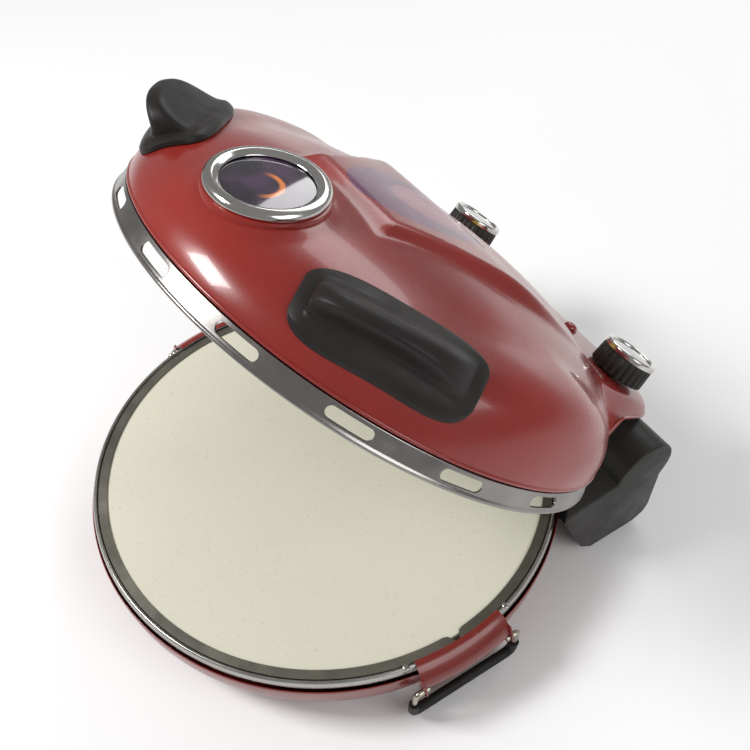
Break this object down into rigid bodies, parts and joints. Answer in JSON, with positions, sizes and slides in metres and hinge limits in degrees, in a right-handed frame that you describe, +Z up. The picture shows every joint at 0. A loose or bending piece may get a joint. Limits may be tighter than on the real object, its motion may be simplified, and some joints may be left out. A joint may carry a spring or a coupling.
{
  "type": "countertop pizza oven",
  "caption": "Clamshell electric pizza oven: round base with a baking stone, domed lid on a rear hinge with a round window, two side grips and two rear knobs.",
  "frame": {"origin": "centre of the flat underside of the base's bottom cover, 10 mm above the surface that the feet stand on", "axes": "+Z up, the user at -Y, the lid's hinge at +Y, +X to the right as the user faces the oven"},
  "size_m": [0.3576, 0.3853, 0.3275],
  "materials": {
    "base_red_paint": "glossy baked enamel",
    "lid_red_paint": "glossy baked enamel",
    "liner_steel": "satin",
    "strip_steel": "heat darkened",
    "baking_stone": "matte",
    "foot_rubber": "matte",
    "insulation": "matte fibre",
    "element_sheath": "heat darkened",
    "clip_steel": "satin",
    "terminal_ceramic": "matte",
    "rivet_steel": "bright",
    "housing_plastic": "fine grain",
    "pin_steel": "ground",
    "ring_steel": "bright satin",
    "reflector_steel": "satin",
    "bezel_chrome": "bright",
    "window_glass": "dark tinted",
    "seal_rubber": "matte",
    "grip_plastic": "satin",
    "arm_steel": "plain",
    "control_plastic": "moulded",
    "lamp_amber_lens": "clear lens",
    "lamp_red_lens": "clear lens",
    "knob_plastic": "satin",
    "knob_chrome": "bright",
    "knob_cap_gloss": "glossy",
    "bail_wire": "nickel plated",
    "sleeve_rubber": "matte"
  },
  "bodies": {
    "base": {"base_pan": "base_red_paint", "bottom_cover": "liner_steel", "foot_1": "foot_rubber", "foot_2": "foot_rubber", "foot_3": "foot_rubber", "foot_4": "foot_rubber", "insulation_pad": "insulation", "base_liner": "liner_steel", "pizza_stone": "baking_stone", "stone_strip": "strip_steel", "lower_element": "element_sheath", "lower_clip_1": "clip_steel", "lower_clip_2": "clip_steel", "lower_clip_3": "clip_steel", "terminal_block": "terminal_ceramic", "side_bracket_right": "base_red_paint", "side_bracket_left": "base_red_paint", "bracket_rivet_1": "rivet_steel", "bracket_rivet_2": "rivet_steel", "bracket_rivet_3": "rivet_steel", "bracket_rivet_4": "rivet_steel", "hinge_housing": "housing_plastic", "cord_gland": "foot_rubber", "hinge_pin_right": "pin_steel", "hinge_pin_left": "pin_steel"},
    "lid": {"lid_dome": "lid_red_paint", "lid_ring": "ring_steel", "lid_back_panel": "lid_red_paint", "heat_reflector": "reflector_steel", "upper_element": "element_sheath", "upper_clip_1": "clip_steel", "upper_clip_2": "clip_steel", "upper_clip_3": "clip_steel", "window_bezel": "bezel_chrome", "window_glass": "window_glass", "window_seal": "seal_rubber", "grip_right": "grip_plastic", "grip_left": "grip_plastic", "lid_hinge_arm_right": "arm_steel", "lid_hinge_arm_left": "arm_steel", "timer_body": "control_plastic", "thermostat_body": "control_plastic", "lamp_amber": "lamp_amber_lens", "lamp_red": "lamp_red_lens"},
    "timer": {"timer_knob": "knob_plastic", "timer_knob_ring": "knob_chrome", "timer_knob_cap": "knob_cap_gloss", "timer_knob_shaft": "pin_steel"},
    "thermostat": {"thermostat_knob": "knob_plastic", "thermostat_knob_ring": "knob_chrome", "thermostat_knob_cap": "knob_cap_gloss", "thermostat_knob_shaft": "pin_steel"},
    "right_bail": {"bail_right": "bail_wire", "bail_sleeve_right": "sleeve_rubber"},
    "left_bail": {"bail_left": "bail_wire", "bail_sleeve_left": "sleeve_rubber"}
  },
  "joints": [
    {"name": "lid_hinge", "type": "hinge", "parent": "base", "child": "lid", "pos_m": [0, 0.1764, 0.0616], "axis": [-1, 0, 0], "range_deg": [-42.3, 57.7]},
    {"name": "timer_turn", "type": "hinge", "parent": "lid", "child": "timer", "pos_m": [0.0843, 0.18524, 0.10758], "axis": [0, 0.673, 0.7396], "range_deg": [0, 300]},
    {"name": "thermostat_turn", "type": "hinge", "parent": "lid", "child": "thermostat", "pos_m": [-0.0843, 0.18524, 0.10758], "axis": [0, 0.673, 0.7396], "range_deg": [0, 270]},
    {"name": "right_bail_swing", "type": "hinge", "parent": "base", "child": "right_bail", "pos_m": [0.1752, 0, 0.0325], "axis": [0, -1, 0], "range_deg": [0, 110]},
    {"name": "left_bail_swing", "type": "hinge", "parent": "base", "child": "left_bail", "pos_m": [-0.1752, 0, 0.0325], "axis": [0, 1, 0], "range_deg": [0, 110]}
  ]
}
